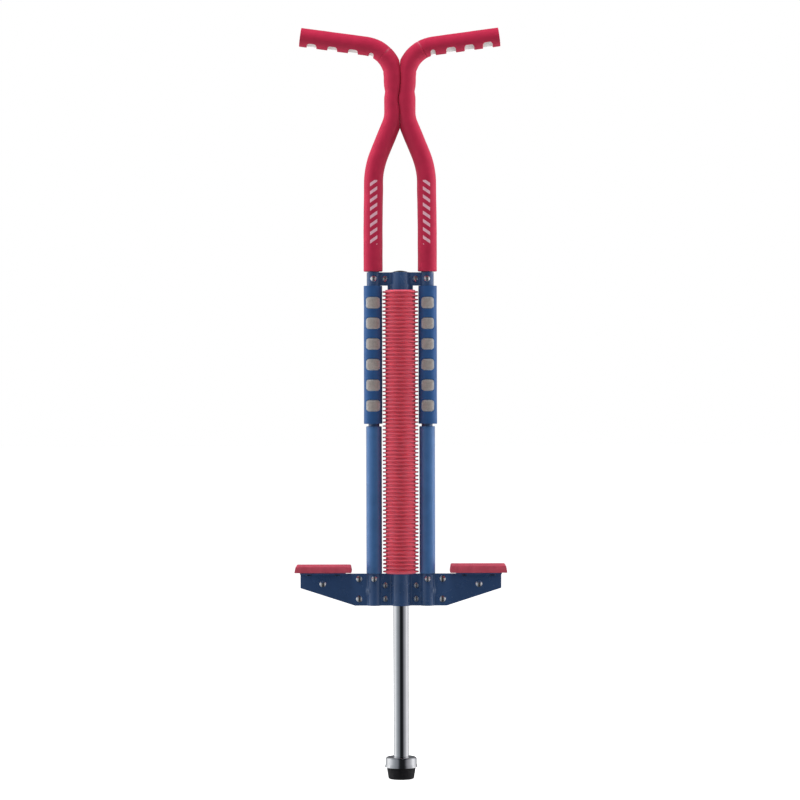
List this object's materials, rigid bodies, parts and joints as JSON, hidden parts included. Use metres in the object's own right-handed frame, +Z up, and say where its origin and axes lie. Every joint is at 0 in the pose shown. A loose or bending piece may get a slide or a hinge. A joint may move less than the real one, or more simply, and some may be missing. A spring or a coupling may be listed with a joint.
{
  "type": "pogo stick",
  "caption": "Spring pogo stick: twin bent tubes with foam handles and knee pads, foot treads, a ribbed spring cover and a chrome piston on a rubber tip.",
  "frame": {"origin": "on the ground under the rubber tip, on the axis of the piston", "axes": "+Z up along the piston, +X along the handles and treads to the right hand of someone facing the front, -Y towards the front"},
  "size_m": [0.3068, 0.062, 1.0888],
  "materials": {
    "frame_paint": "satin dark blue paint",
    "bracket_paint": "satin dark blue paint",
    "sleeve_blue": "glossy blue plastic sleeve",
    "pad_blue": "smooth blue foam skin",
    "pad_core_grey": "matt grey foam",
    "foam_red": "smooth red foam skin",
    "grip_core_grey": "matt light grey foam",
    "cover_red": "satin red plastic bellows",
    "tread_red": "matt red rubber",
    "chrome": "polished chrome plate",
    "rivet_steel": "bright steel",
    "zinc_steel": "zinc plated steel",
    "spring_steel": "oiled spring steel",
    "nylon": "natural nylon",
    "black_plastic": "black moulded plastic",
    "black_rubber": "black rubber"
  },
  "bodies": {
    "frame": {"left_frame_tube": "frame_paint", "right_frame_tube": "frame_paint", "left_leg_sleeve": "sleeve_blue", "right_leg_sleeve": "sleeve_blue", "left_knee_pad": "pad_blue", "right_knee_pad": "pad_blue", "left_knee_pad_core": "pad_core_grey", "right_knee_pad_core": "pad_core_grey", "left_upright_foam": "foam_red", "right_upright_foam": "foam_red", "left_grip": "foam_red", "right_grip": "foam_red", "left_grip_core": "grip_core_grey", "right_grip_core": "grip_core_grey", "left_bar_plug": "black_plastic", "right_bar_plug": "black_plastic", "handle_rivet": "rivet_steel", "handle_spacer": "nylon", "upper_bracket_front": "bracket_paint", "upper_bracket_rear": "bracket_paint", "upper_bushing": "nylon", "upper_spring_cap": "zinc_steel", "foot_bracket_front": "bracket_paint", "foot_bracket_rear": "bracket_paint", "tube_rivets": "rivet_steel", "upper_web_rivets": "rivet_steel", "foot_web_rivets": "rivet_steel", "left_tread": "tread_red", "right_tread": "tread_red", "tread_screws": "zinc_steel", "lower_bushing": "nylon", "rebound_bumper": "black_rubber", "spring_cover": "cover_red", "main_spring": "spring_steel"},
    "seat": {"spring_seat": "zinc_steel"},
    "piston": {"piston_tube": "chrome", "piston_top_plug": "black_plastic", "seat_pin": "zinc_steel", "foot_cup": "chrome", "rubber_tip": "black_rubber", "tip_washer": "zinc_steel"}
  },
  "joints": [
    {"name": "piston_slide", "type": "slide", "parent": "frame", "child": "seat", "axis": [0, 0, 1], "range_m": [0, 0.15], "stiffness_N_per_m": 6000, "springref_m": -0.02, "deforming": ["main_spring"]},
    {"name": "piston_spin", "type": "hinge", "parent": "seat", "child": "piston", "pos_m": [0, 0, 0.31], "axis": [0, 0, 1], "continuous": true}
  ]
}
